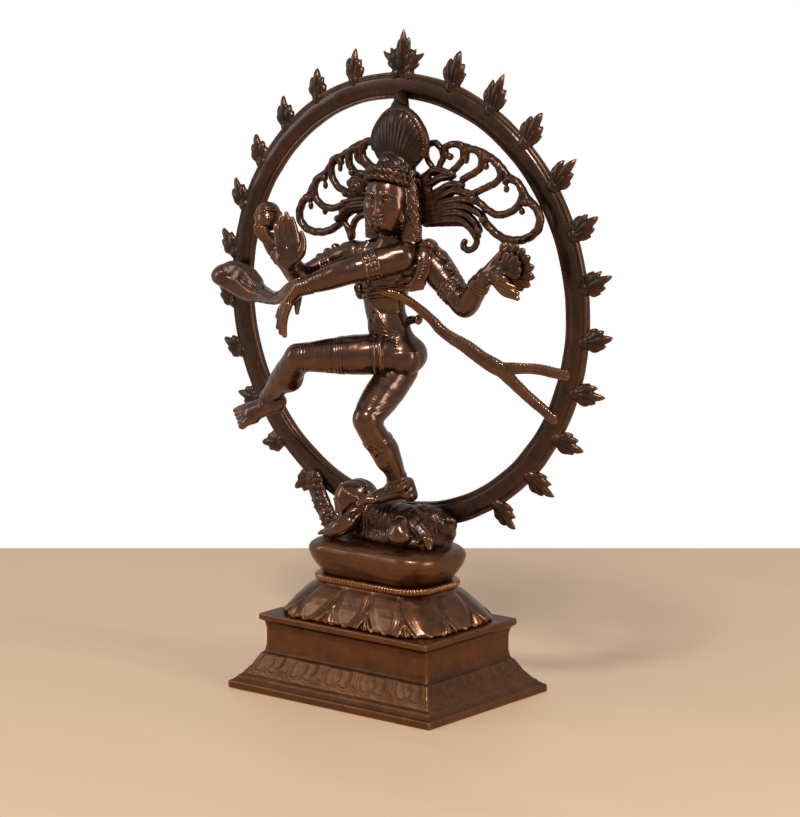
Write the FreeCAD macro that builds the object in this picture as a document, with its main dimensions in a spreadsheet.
"""Dancer in a ring of flames: a cast brass table statue, as a parametric document.

The frame has +Z up and its origin at the middle of the plinth's underside.
The dancer faces -Y, and left and right are the dancer's own, so its left is +X.
Lengths are millimetres and angles are degrees.
"""
import FreeCAD, Part
import math
import os
import Sketcher

Vector = FreeCAD.Vector
Rotation = FreeCAD.Rotation
Placement = FreeCAD.Placement

DIMENSIONS = {
    # plinth
    "rim_length": 181.0,
    "rim_depth": 133.0,
    "rim_height": 5.5,
    "dado_length": 145.0,
    "dado_depth": 94.0,
    "dado_base": 25.6,
    "dado_top": 48.1,
    "slab_length": 150.0,
    "slab_depth": 102.0,
    "plinth_height": 52.9,
    "wall": 3.5,
    # lotus pedestal, beaded collar and seat
    "bell_length": 142.0,
    "bell_depth": 97.0,
    "bell_corner": 34.0,
    "bell_height": 24.5,
    "bell_neck_length": 99.0,
    "bell_neck_depth": 59.0,
    "bead_height": 4.6,
    "bead_length": 103.0,
    "bead_depth": 63.0,
    "seat_foot_length": 94.0,
    "seat_foot_depth": 54.0,
    "seat_length": 110.0,
    "seat_depth": 66.0,
    "seat_corner": 24.0,
    "seat_height": 25.0,
    # ring of flames
    "ring_centre_height": 271.7,
    "ring_radius": 148.4,
    "ring_width": 17.7,
    "ring_thickness": 8.0,
    "ring_set_back": 18.0,
    "flame_height": 22.5,
    "flame_width": 15.0,
    "flame_thickness": 5.6,
    "flame_sink": 1.2,
    "finial_height": 32.5,
    "finial_width": 40.0,
    # dancer: half widths of the body's sections
    "pelvis_radius": 18.5,
    "waist_radius": 14.0,
    "chest_radius": 20.5,
    "shoulder_radius": 29.0,
    "neck_radius": 7.6,
    "head_radius": 15.5,
    "head_half_height": 20.5,
    "upper_arm_radius": 9.6,
    "elbow_radius": 8.4,
    "wrist_radius": 5.9,
    "palm_radius": 8.0,
    "fingertip_radius": 2.2,
    "thigh_radius": 13.6,
    "knee_radius": 10.2,
    "calf_radius": 8.8,
    "ankle_radius": 5.4,
    "foot_radius": 6.6,
    "toe_radius": 4.2,
    "crown_radius": 19.0,
    "hair_thickness": 6.0,
    "drum_radius": 8.5,
    "drum_length": 21.0,
    "ribbon_radius": 4.2,
    "snake_radius": 4.6,
    # dwarf under the dancer's foot
    "dwarf_radius": 12.5,
    "dwarf_head_radius": 13.0,
    "dwarf_limb_radius": 5.6,
    # hidden fastening
    "stud_radius": 4.0,
    "stud_hole_radius": 4.3,
    "washer_radius": 12.0,
    "washer_thickness": 1.6,
    "nut_width": 13.0,
    "nut_height": 6.5,
    "pin_radius": 2.0,
    "pin_length": 30.0,
    "pin_spacing": 68.0,
    "stud_length": 80.0,
    "lug_radius": 4.4,
    "hair_height": 48.0,
    "hair_back": 10.0,
    "hair_slot_radius": 6.5,
    "left_hair_reach": 114.0,
    "right_hair_reach": 94.0,
    "drum_waist": 6.0,
    "drum_x": -107.0,
    "drum_y": 0.0,
    "drum_z": 324.0,
    "hand_flame_width": 30.0,
    "hand_flame_height": 26.0,
    "lump_radius": 8.5,
}

# The dancer's skeleton: the points that the limbs and sections pass through.
SKELETON = {
    "pelvis": (10.4, -3.0, 240.0),
    "seat_of_legs": (11.0, -4.0, 229.0),
    "waist": (1.0, -3.0, 266.0),
    "chest": (2.5, -4.0, 293.0),
    "shoulders": (2.0, -3.0, 306.5),
    "neck_base": (6.5, -4.0, 316.0),
    "neck_top": (9.0, -6.0, 329.0),
    "head": (9.2, -8.0, 345.0),
    "left_shoulder": (26.0, -9.0, 306.0),
    "left_elbow": (-4.4, -34.0, 298.0),
    "left_wrist": (-38.8, -46.0, 283.8),
    "left_knuckles": (-50.0, -49.0, 271.0),
    "left_fingertips": (-52.5, -50.0, 251.0),
    "right_shoulder": (-25.0, -5.0, 305.0),
    "right_elbow": (-64.0, -14.0, 286.5),
    "right_wrist": (-49.8, -44.0, 300.5),
    "right_knuckles": (-46.8, -47.0, 316.0),
    "right_fingertips": (-50.0, -46.0, 332.5),
    "rear_left_shoulder": (29.0, 2.0, 305.5),
    "rear_left_elbow": (66.0, 2.5, 277.0),
    "rear_left_wrist": (90.0, -5.0, 298.5),
    "rear_left_knuckles": (108.0, -8.0, 303.5),
    "rear_left_fingertips": (121.0, -9.0, 296.0),
    "rear_right_shoulder": (-26.0, 2.0, 304.0),
    "rear_right_elbow": (-79.0, 2.5, 282.5),
    "rear_right_wrist": (-104.0, 2.0, 300.5),
    "rear_right_knuckles": (-107.5, 1.0, 310.0),
    "rear_right_fingertips": (-108.0, 1.0, 315.8),
    "raised_hip": (13.0, -9.0, 240.0),
    "raised_knee": (-44.0, -42.0, 236.0),
    "raised_ankle": (-84.0, -27.0, 202.0),
    "raised_heel": (-77.0, -24.0, 196.5),
    "raised_toes": (-105.0, -34.0, 184.5),
    "standing_hip": (14.0, -4.0, 232.0),
    "standing_knee": (12.0, -37.0, 197.0),
    "standing_calf": (16.0, -20.0, 172.0),
    "standing_ankle": (17.0, -8.0, 148.5),
    "standing_heel": (24.5, -3.0, 141.2),
    "standing_toes": (-8.0, -25.0, 137.2),
    "snake_tail": (-47.0, -36.0, 288.0),
    "snake_bend": (-85.0, -15.0, 268.5),
    "snake_neck": (-127.0, 4.0, 270.5),
    "snake_hood": (-143.0, 8.0, 275.8),
    "snake_snout": (-161.0, 8.0, 280.0),
    "ribbon_knot": (20.0, -1.0, 278.5),
    "ribbon_swing": (51.0, 4.0, 256.0),
    "ribbon_fork": (96.0, 6.0, 233.0),
    "ribbon_upper_end": (133.6, 16.0, 235.0),
    "ribbon_lower_end": (123.6, 16.0, 209.0),
    "dwarf_neck": (-24.0, 2.0, 124.0),
    "dwarf_back": (0.0, 0.0, 123.0),
    "dwarf_hips": (24.0, 0.0, 120.0),
    "dwarf_elbow": (-17.0, -19.0, 121.0),
    "dwarf_hand": (-41.0, -21.0, 113.0),
    "dwarf_knee": (31.0, -23.0, 119.5),
    "dwarf_foot": (54.0, -18.0, 116.0),
    "dwarf_rump": (34.0, 1.0, 117.0),
    "dwarf_brow": (-46.0, 2.0, 131.0),
    "dwarf_crown": (-21.0, 4.0, 133.0),
    "dwarf_shoulder": (-14.0, -7.0, 126.0),
    "dwarf_thigh": (20.0, -9.0, 120.0),
    "lug_foot": (6.5, 4.0, 397.0),
    "lug_top": (0.0, 15.0, 414.0),
    "flame_root": (108.0, -4.0, 304.0),
    "lump_left": (44.0, 18.0, 113.5),
    "lump_right": (-44.0, 18.0, 113.5),
}

FULL_TURN = 360.0
FLAMES_PER_SIDE = 11
FLAME_FIRST_ANGLE = 15.8
FLAME_STEP_ANGLE = 13.2
FLAME_LEAN = 21.0
HAND_FLAME_LEAN = 84.0
HAIR_SLOTS = 5
HAIR_SLOT_SHARE = 0.7
HAIR_FIRST_ANGLE = 62.0
HAIR_STEP_ANGLE = 17.0
HAIR_FANS = (
    ("hair_fan_left", 1, "dims.left_hair_reach"),
    ("hair_fan_right", -1, "dims.right_hair_reach"),
)

# Crest on the head: height over the head's middle, half width and depth share of each section.
CREST_LEVELS = (
    (17.0, 0.78, 0.85),
    (24.0, 0.88, 0.72),
    (40.0, 1.08, 0.52),
    (50.0, 0.86, 0.45),
    (57.5, 0.36, 0.6),
)

# Outline of a hair fan, as shares of its reach and of its height.
HAIR_OUTLINE = [
    (0.06, -0.30), (0.06, 0.62), (0.22, 0.80), (0.42, 0.84), (0.62, 0.76), (0.82, 0.58),
    (0.95, 0.34), (1.0, 0.08), (0.95, -0.20), (0.80, -0.34), (0.55, -0.28), (0.30, -0.16),
]

# Leaf-shaped flame, as shares of its half width and of its height.
FLAME_OUTLINE = [
    (-0.30, 0.0), (0.30, 0.0), (0.42, 0.20), (1.0, 0.38), (0.72, 0.50), (0.80, 0.74),
    (0.36, 0.66), (0.0, 1.0), (-0.36, 0.66), (-0.80, 0.74), (-0.72, 0.50), (-1.0, 0.38),
    (-0.42, 0.20),
]

doc = FreeCAD.newDocument("dancer_in_ring_of_flames")
sheet = doc.addObject("Spreadsheet::Sheet", "dims")
pieces = []


def fill_sheet():
    """Write each driving dimension and each skeleton point as an aliased plain number."""
    cells = dict(DIMENSIONS)
    for joint, point in SKELETON.items():
        for axis, value in zip("xyz", point):
            cells[f"{joint}_{axis}"] = value
    for row, (alias, value) in enumerate(cells.items(), start=1):
        sheet.set(f"A{row}", alias)
        sheet.set(f"B{row}", str(value))
        sheet.setAlias(f"B{row}", alias)
    doc.recompute()


def size(alias):
    """Return a driving dimension from the sheet."""
    return float(getattr(sheet, alias))


def joint_point(joint):
    """Return one skeleton point from the sheet."""
    return Vector(*(size(f"{joint}_{axis}") for axis in "xyz"))


def keep(item, label):
    """Name a finished piece: its label is also its file's name."""
    item.Label = label
    pieces.append(item)
    return item


def join(name, parts):
    """Fuse several solids into one piece."""
    fusion = doc.addObject("Part::MultiFuse", name)
    fusion.Shapes = parts
    fusion.Refine = False
    return fusion


def cut(name, base, tools):
    """Take the tools' room away from a solid, one after another."""
    for tool in tools:
        trimmed = doc.addObject("Part::Cut", name)
        trimmed.Base = base
        trimmed.Tool = tool
        trimmed.Refine = False
        base = trimmed
    return base


# ---------------------------------------------------------------- sketches

def origin_plane(body, role):
    """Return one of a body's own origin planes."""
    return next(item for item in body.Origin.OriginFeatures if item.Role == role)


def new_sketch(body, name, role="XY_Plane", lift=None):
    """Add a sketch on an origin plane, raised by an expression."""
    sketch = body.newObject("Sketcher::SketchObject", name)
    sketch.AttachmentSupport = (origin_plane(body, role), [""])
    sketch.MapMode = "FlatFace"
    if lift:
        sketch.setExpression("AttachmentOffset.Base.z", lift)
    return sketch


def bind(sketch, kind, name, elements, value, expression):
    """Add a driving constraint and tie it to the sheet."""
    sketch.addConstraint(Sketcher.Constraint(kind, *elements, value))
    index = sketch.ConstraintCount - 1
    sketch.renameConstraint(index, name)
    sketch.setExpression(f"Constraints.{name}", expression)


def rounded_rectangle(sketch, length, depth, corner):
    """Draw a rounded rectangle about the origin, bound to three expressions."""
    half_x, half_y, radius = (sketch.evalExpression(item) for item in (length, depth, corner))
    half_x, half_y, radius = float(half_x) / 2, float(half_y) / 2, float(radius)
    in_x, in_y = half_x - radius, half_y - radius
    corners = [(in_x, in_y, 0), (-in_x, in_y, 1), (-in_x, -in_y, 2), (in_x, -in_y, 3)]
    up = Vector(0, 0, 1)
    for x, y, quarter in corners:
        circle = Part.Circle(Vector(x, y, 0), up, radius)
        start = quarter * math.pi / 2
        sketch.addGeometry(Part.ArcOfCircle(circle, start, start + math.pi / 2))
    sides = [
        ((in_x, half_y), (-in_x, half_y)),
        ((-half_x, in_y), (-half_x, -in_y)),
        ((-in_x, -half_y), (in_x, -half_y)),
        ((half_x, -in_y), (half_x, in_y)),
    ]
    for start, end in sides:
        sketch.addGeometry(Part.LineSegment(Vector(*start, 0), Vector(*end, 0)))
    for index in range(4):
        sketch.addConstraint(Sketcher.Constraint("Tangent", index, 2, 4 + index, 1))
        sketch.addConstraint(Sketcher.Constraint("Tangent", 4 + index, 2, (index + 1) % 4, 1))
    sketch.addConstraint(Sketcher.Constraint("Horizontal", 4))
    sketch.addConstraint(Sketcher.Constraint("Vertical", 5))
    for index in range(1, 4):
        sketch.addConstraint(Sketcher.Constraint("Equal", 0, index))
    sketch.addConstraint(Sketcher.Constraint("Symmetric", 0, 3, 2, 3, -1, 1))
    bind(sketch, "Radius", "corner", (0,), radius, corner)
    bind(sketch, "DistanceX", "length", (5, 1, 7, 1), 2 * half_x, length)
    bind(sketch, "DistanceY", "depth", (6, 1, 4, 1), 2 * half_y, depth)


def polygon(sketch, points, across, along):
    """Draw a closed outline whose corners are shares of two sheet expressions."""
    width, height = float(sketch.evalExpression(across)), float(sketch.evalExpression(along))
    corners = [Vector(x * width, y * height, 0) for x, y in points]
    count = len(corners)
    for index in range(count):
        sketch.addGeometry(Part.LineSegment(corners[index], corners[(index + 1) % count]))
    for index in range(count):
        sketch.addConstraint(Sketcher.Constraint("Coincident", index, 2, (index + 1) % count, 1))
    for index, (x, y) in enumerate(points):
        for kind, share, value, expression in (
            ("DistanceX", x, corners[index].x, across),
            ("DistanceY", y, corners[index].y, along),
        ):
            bind(sketch, kind, f"{kind}_{index}", (-1, 1, index, 1), value, f"{expression} * {share}")


def layered_solid(body, name, layers, kind="PartDesign::AdditiveLoft"):
    """Loft a stack of rounded rectangles: each layer is length, depth, corner, height."""
    sketches = []
    for index, (length, depth, corner, lift) in enumerate(layers):
        sketch = new_sketch(body, f"{name}_{index}", lift=lift)
        rounded_rectangle(sketch, length, depth, corner)
        sketches.append(sketch)
    loft = body.newObject(kind, name)
    loft.Profile = sketches[0]
    loft.Sections = sketches[1:]
    loft.Ruled = True
    doc.recompute()
    return loft


def stud_hole(body, base_height, height):
    """Drill the centre hole that the stud passes through."""
    sketch = new_sketch(body, f"{body.Name}_hole", lift=base_height)
    sketch.addGeometry(Part.Circle(Vector(0, 0, 0), Vector(0, 0, 1), size("stud_hole_radius")))
    sketch.addConstraint(Sketcher.Constraint("Coincident", 0, 3, -1, 1))
    bind(sketch, "Radius", "hole", (0,), size("stud_hole_radius"), "dims.stud_hole_radius")
    pocket = body.newObject("PartDesign::Pocket", f"{body.Name}_bore")
    pocket.Profile = sketch
    pocket.setExpression("Length", height)
    pocket.Reversed = True
    doc.recompute()
    return pocket


# ---------------------------------------------------------------- base

def make_plinth():
    """Hollow stepped plinth: rim, sloping skirt, straight dado and top slab."""
    body = doc.addObject("PartDesign::Body", "plinth_body")
    sharp = "dims.wall * 0.4"
    inner_rim = ("dims.rim_length - 2 * dims.wall", "dims.rim_depth - 2 * dims.wall", sharp)
    inner_dado = ("dims.dado_length - 2 * dims.wall", "dims.dado_depth - 2 * dims.wall", sharp)
    layered_solid(body, "plinth_outside", [
        ("dims.rim_length", "dims.rim_depth", sharp, "0 mm"),
        ("dims.rim_length", "dims.rim_depth", sharp, "dims.rim_height"),
        ("dims.dado_length", "dims.dado_depth", sharp, "dims.dado_base"),
        ("dims.dado_length", "dims.dado_depth", sharp, "dims.dado_top"),
        ("dims.slab_length", "dims.slab_depth", sharp, "dims.dado_top + 0.6"),
        ("dims.slab_length", "dims.slab_depth", sharp, "dims.plinth_height"),
    ])
    layered_solid(body, "plinth_inside", [
        (*inner_rim, "0 mm"),
        (*inner_rim, "dims.rim_height - 2"),
        (*inner_dado, "dims.dado_base - 2"),
        (*inner_dado, "dims.plinth_height - dims.wall"),
    ], kind="PartDesign::SubtractiveLoft")
    stud_hole(body, "dims.plinth_height - 2 * dims.wall", "3 * dims.wall")
    return keep(body, "plinth")


def make_lotus_pedestal():
    """Hollow bell of lotus petals that stands on the plinth."""
    body = doc.addObject("PartDesign::Body", "pedestal_body")
    base = "dims.plinth_height"
    middle = "(dims.bell_length + dims.bell_neck_length) / 2"
    middle_depth = "(dims.bell_depth + dims.bell_neck_depth) / 2"
    layered_solid(body, "bell_outside", [
        ("dims.bell_length - 6", "dims.bell_depth - 6", "dims.bell_corner - 3", base),
        ("dims.bell_length", "dims.bell_depth", "dims.bell_corner", f"{base} + dims.bell_height * 0.12"),
        (f"{middle} + 6", f"{middle_depth} + 6", "dims.bell_corner - 4", f"{base} + dims.bell_height * 0.55"),
        ("dims.bell_neck_length", "dims.bell_neck_depth", "dims.seat_corner", f"{base} + dims.bell_height"),
    ])
    layered_solid(body, "bell_inside", [
        ("dims.bell_length - 14", "dims.bell_depth - 14", "dims.bell_corner - 6", base),
        (f"{middle} - 6", f"{middle_depth} - 6", "dims.bell_corner - 8", f"{base} + dims.bell_height * 0.5"),
        ("dims.bell_neck_length - 12", "dims.bell_neck_depth - 12", "dims.seat_corner - 5",
         f"{base} + dims.bell_height - dims.wall"),
    ], kind="PartDesign::SubtractiveLoft")
    stud_hole(body, f"{base} + dims.bell_height - 2 * dims.wall", "3 * dims.wall")
    return keep(body, "lotus_pedestal")


def make_bead_collar():
    """Flat rounded collar between the lotus bell and the seat."""
    body = doc.addObject("PartDesign::Body", "collar_body")
    base = "dims.plinth_height + dims.bell_height"
    layers = []
    for share, inset in ((0.0, 3.0), (0.3, 0.0), (0.7, 0.0), (1.0, 3.0)):
        layers.append((
            f"dims.bead_length - {inset}",
            f"dims.bead_depth - {inset}",
            "dims.seat_corner",
            f"{base} + dims.bead_height * {share}",
        ))
    layered_solid(body, "collar", layers)
    stud_hole(body, f"{base} - 2", "dims.bead_height + 4")
    return keep(body, "bead_collar")


def make_lotus_seat(pins):
    """Cushion-like seat that widens upwards to a rounded shoulder, with the ring's pin holes."""
    body = doc.addObject("PartDesign::Body", "seat_body")
    base = "dims.plinth_height + dims.bell_height + dims.bead_height"
    shoulder = (
        (0.0, "dims.seat_foot_length", "dims.seat_foot_depth"),
        (0.62, "dims.seat_length", "dims.seat_depth"),
        (0.80, "dims.seat_length - 2", "dims.seat_depth - 2"),
        (0.94, "dims.seat_length - 9", "dims.seat_depth - 9"),
        (1.0, "dims.seat_length - 20", "dims.seat_depth - 20"),
    )
    layered_solid(body, "seat", [
        (length, depth, "dims.seat_corner - 2", f"{base} + dims.seat_height * {share}")
        for share, length, depth in shoulder
    ])
    stud_hole(body, f"{base} - 2", "dims.seat_height + 4")
    return keep(cut("seat_drilled", body, pins), "lotus_seat")


# ---------------------------------------------------------------- ring of flames

def make_ring(pins):
    """Upright ring with a raised ridge between two lower fillets, drilled for its pins."""
    body = doc.addObject("PartDesign::Body", "ring_body")
    sketch = new_sketch(body, "ring_section", role="XZ_Plane")
    outline = [
        (-0.5, -0.5), (0.5, -0.5), (0.5, 0.3), (0.38, 0.3), (0.28, 0.5), (-0.28, 0.5), (-0.38, 0.3),
        (-0.5, 0.3),
    ]
    width, thick = size("ring_width"), size("ring_thickness")
    corners = [Vector(size("ring_radius") + x * width, y * thick, 0) for x, y in outline]
    count = len(corners)
    for index in range(count):
        sketch.addGeometry(Part.LineSegment(corners[index], corners[(index + 1) % count]))
    for index in range(count):
        sketch.addConstraint(Sketcher.Constraint("Coincident", index, 2, (index + 1) % count, 1))
    for index, (x, y) in enumerate(outline):
        bind(sketch, "DistanceX", f"across_{index}", (-1, 1, index, 1), corners[index].x,
             f"dims.ring_radius + dims.ring_width * {x}")
        bind(sketch, "DistanceY", f"along_{index}", (-1, 1, index, 1), corners[index].y,
             f"dims.ring_thickness * {y}")
    turned = body.newObject("PartDesign::Revolution", "ring_turned")
    turned.Profile = sketch
    turned.ReferenceAxis = (sketch, ["V_Axis"])
    turned.Angle = FULL_TURN
    body.setExpression("Placement.Base.z", "dims.ring_centre_height")
    body.setExpression("Placement.Base.y", "dims.ring_set_back")
    body.Placement.Rotation = Rotation(Vector(1, 0, 0), 90)
    doc.recompute()
    return keep(cut("ring_drilled", body, pins), "aureole_ring")


def ring_point(angle, radius):
    """Return the point at an angle from the ring's top, positive towards +X."""
    turn = math.radians(angle)
    centre = Vector(0, size("ring_set_back"), size("ring_centre_height"))
    return centre + Vector(math.sin(turn), 0, math.cos(turn)) * radius


def make_flame(label, angle, width, height, ring):
    """Leaf-shaped flame at an angle from the ring's top, leaning up from the radial direction."""
    body = doc.addObject("PartDesign::Body", f"{label}_body")
    sketch = new_sketch(body, f"{label}_outline", role="XZ_Plane")
    polygon(sketch, FLAME_OUTLINE, f"{width} / 2", height)
    pad = body.newObject("PartDesign::Pad", f"{label}_pad")
    pad.Profile = sketch
    pad.setExpression("Length", "dims.flame_thickness")
    doc.recompute()
    root = size("ring_radius") + size("ring_width") / 2 - size("flame_sink")
    foot = ring_point(angle, root) + Vector(0, size("flame_thickness") / 2, 0)
    lean = FLAME_LEAN * math.sin(math.radians(angle))
    body.Placement = Placement(foot, Rotation(Vector(0, 1, 0), angle - lean))
    return keep(cut(f"{label}_seated", body, [ring]), label)


def make_flames(ring):
    """One finial on top and the same flame repeated down both sides."""
    make_flame("finial_flame", 0.0, "dims.finial_width", "dims.finial_height", ring)
    number = 0
    for side in (1, -1):
        for step in range(FLAMES_PER_SIDE):
            number += 1
            angle = side * (FLAME_FIRST_ANGLE + FLAME_STEP_ANGLE * step)
            make_flame(f"flame_{number:02d}", angle, "dims.flame_width", "dims.flame_height", ring)


# ---------------------------------------------------------------- organic pieces

def limb(name, stations, upright=Vector(0, 1, 0)):
    """Loft a tube of ellipses through stations.

    A station is a place, a half width and a depth share. The place is a joint, or two joints and
    a share of the way between them. The width lies across both the tube and upright.
    """
    places = [(where, where, 0.0) if isinstance(where, str) else where for where, _, _ in stations]
    points = [joint_point(first) * (1 - share) + joint_point(last) * share for first, last, share in places]
    sections = []
    for index, (_, radius, flatness) in enumerate(stations):
        before = points[max(index - 1, 0)]
        after = points[min(index + 1, len(points) - 1)]
        tangent = (after - before).normalize()
        side = upright.cross(tangent).normalize()
        section = doc.addObject("Part::Ellipse", f"{name}_section_{index}")
        section.setExpression("MajorRadius", radius)
        section.setExpression("MinorRadius", f"({radius}) * {flatness}")
        section.Placement.Rotation = Rotation(side, tangent.cross(side), tangent, "ZXY")
        first, last, share = places[index]
        for axis in "xyz":
            formula = f"dims.{first}_{axis} * {1 - share} + dims.{last}_{axis} * {share}"
            section.setExpression(f"Placement.Base.{axis}", formula)
        sections.append(section)
    loft = doc.addObject("Part::Loft", name)
    loft.Sections = sections
    loft.Solid = True
    loft.Ruled = True
    return loft


def ellipsoid(name, joint, across, depth, height):
    """Put an ellipsoid on a skeleton point, with half sizes along X, Y and Z."""
    ball = doc.addObject("Part::Ellipsoid", name)
    ball.setExpression("Radius1", height)
    ball.setExpression("Radius2", across)
    ball.setExpression("Radius3", depth)
    for axis in "xyz":
        ball.setExpression(f"Placement.Base.{axis}", f"dims.{joint}_{axis}")
    return ball


def rod(name, radius, height, x, y, z):
    """Upright round rod whose radius, height and foot are expressions."""
    item = doc.addObject("Part::Cylinder", name)
    item.setExpression("Radius", radius)
    item.setExpression("Height", height)
    for axis, formula in zip("xyz", (x, y, z)):
        item.setExpression(f"Placement.Base.{axis}", formula)
    return item


# ---------------------------------------------------------------- dancer

def make_torso():
    """Trunk from the seat of the legs up to the neck."""
    trunk = limb("trunk", [
        ("seat_of_legs", "dims.pelvis_radius * 0.72", 0.8),
        ("pelvis", "dims.pelvis_radius", 0.78),
        ("waist", "dims.waist_radius", 0.78),
        ("chest", "dims.chest_radius", 0.68),
        ("shoulders", "dims.shoulder_radius", 0.42),
        ("neck_base", "dims.neck_radius * 1.5", 0.8),
        ("neck_top", "dims.neck_radius", 1.0),
    ])
    return keep(trunk, "torso")


def make_arm(label, side, neighbours):
    """Arm and hand: shoulder, upper arm, elbow, forearm, wrist, palm and fingers."""
    shoulder, elbow, wrist = f"{side}_shoulder", f"{side}_elbow", f"{side}_wrist"
    knuckles, fingertips = f"{side}_knuckles", f"{side}_fingertips"
    arm = limb(f"{label}_shaft", [
        (shoulder, "dims.upper_arm_radius * 1.05", 1.0),
        ((shoulder, elbow, 0.55), "dims.upper_arm_radius * 0.95", 1.0),
        (elbow, "dims.elbow_radius", 1.0),
        ((elbow, wrist, 0.5), "dims.elbow_radius * 0.88", 1.0),
        (wrist, "dims.wrist_radius", 0.95),
        ((wrist, knuckles, 0.6), "dims.palm_radius", 0.6),
        (knuckles, "dims.palm_radius", 0.5),
        (fingertips, "dims.fingertip_radius * 1.7", 0.5),
    ])
    return keep(cut(f"{label}_trimmed", arm, neighbours), label)


def make_leg(label, side, knee_share, neighbours):
    """Leg and foot: thigh, knee, calf, ankle, heel and toes."""
    hip, knee, ankle = f"{side}_hip", f"{side}_knee", f"{side}_ankle"
    heel, toes = f"{side}_heel", f"{side}_toes"
    shaft = limb(f"{label}_shaft", [
        (hip, "dims.thigh_radius", 1.0),
        ((hip, knee, 0.5), "dims.thigh_radius * 0.93", 1.0),
        ((hip, knee, 0.92), "dims.knee_radius", 1.0),
        ((knee, ankle, knee_share), "dims.knee_radius * 0.96", 1.0),
        ((knee, ankle, 0.45), "dims.calf_radius", 1.0),
        (ankle, "dims.ankle_radius", 1.0),
        ((ankle, heel, 0.75), "dims.ankle_radius", 1.0),
    ])
    foot = limb(f"{label}_foot", [
        (heel, "dims.foot_radius * 0.8", 0.85),
        ((heel, toes, 0.28), "dims.foot_radius * 0.95", 0.9),
        ((heel, toes, 0.72), "dims.foot_radius", 0.6),
        (toes, "dims.toe_radius * 1.2", 0.55),
    ], upright=Vector(0, 0, 1))
    return keep(cut(f"{label}_trimmed", join(f"{label}_whole", [shaft, foot]), neighbours), label)


def make_head(neighbours):
    """Egg-shaped head on the neck."""
    skull = ellipsoid("skull", "head", "dims.head_radius", "dims.head_radius * 1.12", "dims.head_half_height")
    return keep(cut("skull_seated", skull, neighbours), "head")


def make_crown(neighbours):
    """Fan-shaped crest on the head, with a lug that reaches up to the ring."""
    sections = []
    for index, (rise, width, flatness) in enumerate(CREST_LEVELS):
        section = doc.addObject("Part::Ellipse", f"crown_section_{index}")
        section.setExpression("MajorRadius", f"dims.crown_radius * {width}")
        section.setExpression("MinorRadius", f"dims.crown_radius * {width * flatness}")
        section.setExpression("Placement.Base.x", "dims.head_x - 1")
        section.setExpression("Placement.Base.y", f"dims.head_y + 2 + {rise} * 0.16")
        section.setExpression("Placement.Base.z", f"dims.head_z + {rise}")
        sections.append(section)
    crest = doc.addObject("Part::Loft", "crest")
    crest.Sections = sections
    crest.Solid = True
    crest.Ruled = True
    lug = limb("crown_lug", [
        ("lug_foot", "dims.lug_radius", 0.9),
        (("lug_foot", "lug_top", 0.5), "dims.lug_radius * 0.8", 0.9),
        ("lug_top", "dims.lug_radius", 0.9),
    ])
    return keep(cut("crown_trimmed", join("crown_whole", [crest, lug]), neighbours), "crown")


def make_hair_fan(label, side, reach, neighbours):
    """Fan of matted locks beside the head: a thin plate, pierced between the locks."""
    body = doc.addObject("PartDesign::Body", f"{label}_body")
    sketch = new_sketch(body, f"{label}_outline", role="XZ_Plane")
    polygon(sketch, [(side * x, z) for x, z in HAIR_OUTLINE], reach, "dims.hair_height")
    pad = body.newObject("PartDesign::Pad", f"{label}_pad")
    pad.Profile = sketch
    pad.setExpression("Length", "dims.hair_thickness")
    doc.recompute()
    slots = new_sketch(body, f"{label}_slots", role="XZ_Plane")
    for index in range(HAIR_SLOTS):
        turn = math.radians(HAIR_FIRST_ANGLE - index * HAIR_STEP_ANGLE)
        across = side * math.cos(turn) * HAIR_SLOT_SHARE
        along = math.sin(turn) * HAIR_SLOT_SHARE
        centre = Vector(across * float(sheet.evalExpression(reach)), along * size("hair_height"), 0)
        slots.addGeometry(Part.Circle(centre, Vector(0, 0, 1), size("hair_slot_radius")))
        bind(slots, "DistanceX", f"slot_x_{index}", (-1, 1, index, 3), centre.x, f"{reach} * {across}")
        bind(slots, "DistanceY", f"slot_z_{index}", (-1, 1, index, 3), centre.y,
             f"dims.hair_height * {along}")
        bind(slots, "Radius", f"slot_{index}", (index,), size("hair_slot_radius"), "dims.hair_slot_radius")
    pocket = body.newObject("PartDesign::Pocket", f"{label}_piercing")
    pocket.Profile = slots
    pocket.Type = "ThroughAll"
    pocket.Midplane = True
    doc.recompute()
    body.setExpression("Placement.Base.x", "dims.head_x")
    body.setExpression("Placement.Base.y", "dims.hair_back")
    body.setExpression("Placement.Base.z", "dims.head_z")
    return keep(cut(f"{label}_trimmed", body, neighbours), label)


def make_drum(neighbours):
    """Small hourglass drum standing on the rear right hand's fingers."""
    halves = []
    ends = (("dims.drum_radius", "dims.drum_waist"), ("dims.drum_waist", "dims.drum_radius"))
    for index, (near, far) in enumerate(ends):
        half = doc.addObject("Part::Cone", f"drum_half_{index}")
        half.setExpression("Radius1", near)
        half.setExpression("Radius2", far)
        half.setExpression("Height", "dims.drum_length / 2")
        half.Placement.Rotation = Rotation(Vector(0, 1, 0), 90)
        half.setExpression("Placement.Base.x", f"dims.drum_x + dims.drum_length * {(index - 1) / 2}")
        half.setExpression("Placement.Base.y", "dims.drum_y")
        half.setExpression("Placement.Base.z", "dims.drum_z")
        halves.append(half)
    return keep(cut("drum_seated", join("drum_whole", halves), neighbours), "drum")


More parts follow.
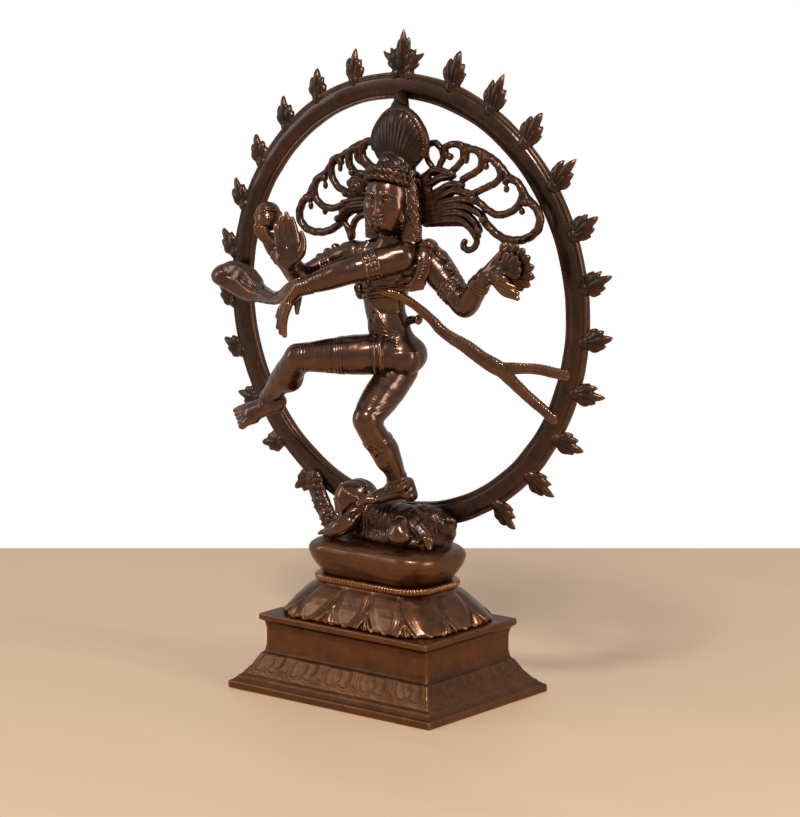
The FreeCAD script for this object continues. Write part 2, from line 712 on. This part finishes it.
def make_hand_flame(neighbours):
    """Tongues of flame held up in the rear left palm."""
    body = doc.addObject("PartDesign::Body", "hand_flame_body")
    sketch = new_sketch(body, "hand_flame_outline", role="XZ_Plane")
    polygon(sketch, FLAME_OUTLINE, "dims.hand_flame_width / 2", "dims.hand_flame_height")
    pad = body.newObject("PartDesign::Pad", "hand_flame_pad")
    pad.Profile = sketch
    pad.setExpression("Length", "dims.flame_thickness")
    doc.recompute()
    body.Placement = Placement(joint_point("flame_root"), Rotation(Vector(0, 1, 0), HAND_FLAME_LEAN))
    return keep(cut("hand_flame_seated", body, neighbours), "hand_flame")


def make_cobra(neighbours):
    """Cobra that reaches from the crossing wrist to its spread hood on the ring."""
    snake = limb("cobra_body", [
        ("snake_tail", "dims.snake_radius * 0.6", 0.8),
        ("snake_bend", "dims.snake_radius * 1.15", 0.8),
        ("snake_neck", "dims.snake_radius * 1.1", 0.8),
        ("snake_hood", "dims.snake_radius * 2.6", 0.32),
        ("snake_snout", "dims.snake_radius * 0.6", 0.8),
    ])
    return keep(cut("cobra_trimmed", snake, neighbours), "cobra")


def make_sash(neighbours):
    """Waist sash that swings out and forks into two ends on the ring."""
    upper = limb("sash_upper", [
        ("ribbon_knot", "dims.ribbon_radius", 0.5),
        ("ribbon_swing", "dims.ribbon_radius", 0.5),
        ("ribbon_fork", "dims.ribbon_radius * 1.3", 0.4),
        ("ribbon_upper_end", "dims.ribbon_radius * 0.9", 0.5),
    ])
    lower = limb("sash_lower", [
        (("ribbon_swing", "ribbon_fork", 0.7), "dims.ribbon_radius * 0.9", 0.45),
        ("ribbon_fork", "dims.ribbon_radius", 0.4),
        ("ribbon_lower_end", "dims.ribbon_radius * 0.9", 0.5),
    ])
    return keep(cut("sash_trimmed", join("sash_whole", [upper, lower]), neighbours), "sash")


# ---------------------------------------------------------------- dwarf

def make_dwarf(seat, stud):
    """Dwarf lying along the seat under the dancer's foot: trunk, head, arm and leg."""
    trunk = limb("dwarf_trunk", [
        ("dwarf_neck", "dims.dwarf_radius * 0.7", 0.9),
        (("dwarf_neck", "dwarf_back", 0.4), "dims.dwarf_radius", 0.88),
        ("dwarf_back", "dims.dwarf_radius * 0.98", 0.95),
        ("dwarf_hips", "dims.dwarf_radius", 0.95),
        ("dwarf_rump", "dims.dwarf_radius * 0.55", 0.95),
    ])
    body = keep(cut("dwarf_body_seated", trunk, [seat, stud]), "dwarf_body")
    skull = limb("dwarf_skull", [
        ("dwarf_brow", "dims.dwarf_head_radius * 0.45", 0.9),
        (("dwarf_brow", "dwarf_crown", 0.25), "dims.dwarf_head_radius * 0.85", 0.9),
        (("dwarf_brow", "dwarf_crown", 0.55), "dims.dwarf_head_radius * 0.95", 0.9),
        (("dwarf_brow", "dwarf_crown", 0.85), "dims.dwarf_head_radius * 0.75", 0.9),
        ("dwarf_crown", "dims.dwarf_head_radius * 0.4", 0.9),
    ])
    keep(cut("dwarf_head_seated", skull, [seat, body]), "dwarf_head")
    arm = limb("dwarf_arm_shaft", [
        ("dwarf_shoulder", "dims.dwarf_limb_radius", 1.0),
        ("dwarf_elbow", "dims.dwarf_limb_radius * 1.1", 1.0),
        ("dwarf_hand", "dims.dwarf_limb_radius * 0.7", 1.0),
    ])
    keep(cut("dwarf_arm_seated", arm, [seat, body]), "dwarf_arm")
    leg = limb("dwarf_leg_shaft", [
        ("dwarf_thigh", "dims.dwarf_limb_radius * 1.1", 1.0),
        ("dwarf_knee", "dims.dwarf_limb_radius * 1.25", 1.0),
        ("dwarf_foot", "dims.dwarf_limb_radius * 0.7", 1.0),
    ])
    keep(cut("dwarf_leg_seated", leg, [seat, body]), "dwarf_leg")
    return body


def make_ring_foot(neighbours):
    """Rough lump that fills the gap between the ring's lowest stretch and the seat."""
    lump = limb("ring_foot_lump", [
        ("lump_right", "dims.lump_radius * 0.6", 0.9),
        (("lump_right", "lump_left", 0.2), "dims.lump_radius * 1.1", 0.9),
        (("lump_right", "lump_left", 0.8), "dims.lump_radius * 1.1", 0.9),
        ("lump_left", "dims.lump_radius * 0.7", 0.9),
    ])
    return keep(cut("ring_foot_trimmed", lump, neighbours), "ring_foot")


# ---------------------------------------------------------------- hidden fastening

def make_stud():
    """Threaded stud that ties the plinth, the pedestal and the seat to the dwarf."""
    foot = "dims.plinth_height - dims.wall - dims.washer_thickness - dims.nut_height - 3"
    return keep(rod("stud", "dims.stud_radius", "dims.stud_length", "0", "0", foot), "clamp_stud")


def make_washer(stud):
    """Washer under the plinth's top slab."""
    disc = rod("washer_disc", "dims.washer_radius", "dims.washer_thickness", "0", "0",
               "dims.plinth_height - dims.wall - dims.washer_thickness")
    return keep(cut("washer", disc, [stud]), "clamp_washer")


def make_nut(stud):
    """Hexagonal nut on the stud, under the washer."""
    prism = doc.addObject("Part::Prism", "nut_prism")
    prism.Polygon = 6
    prism.setExpression("Circumradius", "dims.nut_width / sqrt(3)")
    prism.setExpression("Height", "dims.nut_height")
    prism.setExpression("Placement.Base.z",
                        "dims.plinth_height - dims.wall - dims.washer_thickness - dims.nut_height")
    return keep(cut("nut", prism, [stud]), "clamp_nut")


def make_ring_pins():
    """Two pins that locate the ring's lowest stretch on the seat."""
    pins = []
    for side in (1, -1):
        pins.append(rod(f"pin_{len(pins)}", "dims.pin_radius", "dims.pin_length",
                        f"dims.pin_spacing * {side / 2}", "dims.ring_set_back",
                        "dims.ring_centre_height - dims.ring_radius - dims.pin_length * 0.85"))
    return pins


def solid_volume(item):
    """Return the volume of a piece in cubic centimetres."""
    return item.Shape.Volume / 1000.0


def export():
    """Check every object and every piece, then write one file per piece."""
    doc.recompute()
    for item in doc.Objects:
        if "Invalid" in item.State or "Error" in item.State:
            raise RuntimeError(f"{item.Name} failed: {item.State}")
    os.makedirs("parts", exist_ok=True)
    for piece in pieces:
        shape = piece.Shape
        if shape.isNull() or not shape.isValid() or not shape.Solids:
            raise RuntimeError(f"{piece.Label} has no valid solid")
        shape.exportStep(f"parts/{piece.Label}.step")
        print(piece.Label, f"{solid_volume(piece):.2f} cm3", len(shape.Solids), "solid")


fill_sheet()
stud = make_stud()
make_washer(stud)
make_nut(stud)
pins = make_ring_pins()
keep(join("ring_pin_pair", pins), "ring_pins")
make_plinth()
make_lotus_pedestal()
make_bead_collar()
seat = make_lotus_seat(pins)
ring = make_ring(pins)
make_flames(ring)
dwarf = make_dwarf(seat, stud)
make_ring_foot([seat, ring, dwarf, *pins])
torso = make_torso()
raised_leg = make_leg("raised_leg", "raised", 0.12, [torso])
standing_leg = make_leg("standing_leg", "standing", 0.12, [torso, raised_leg, dwarf])
front_left = make_arm("front_left_arm", "left", [torso])
front_right = make_arm("front_right_arm", "right", [torso])
rear_left = make_arm("rear_left_arm", "rear_left", [torso, front_left])
rear_right = make_arm("rear_right_arm", "rear_right", [torso, front_right])
head = make_head([torso])
crown = make_crown([head, ring])
for label, side, reach in HAIR_FANS:
    make_hair_fan(label, side, reach, [head, crown, torso])
make_drum([rear_right])
make_hand_flame([rear_left])
make_cobra([front_left, front_right, ring])
make_sash([torso, ring])
export()
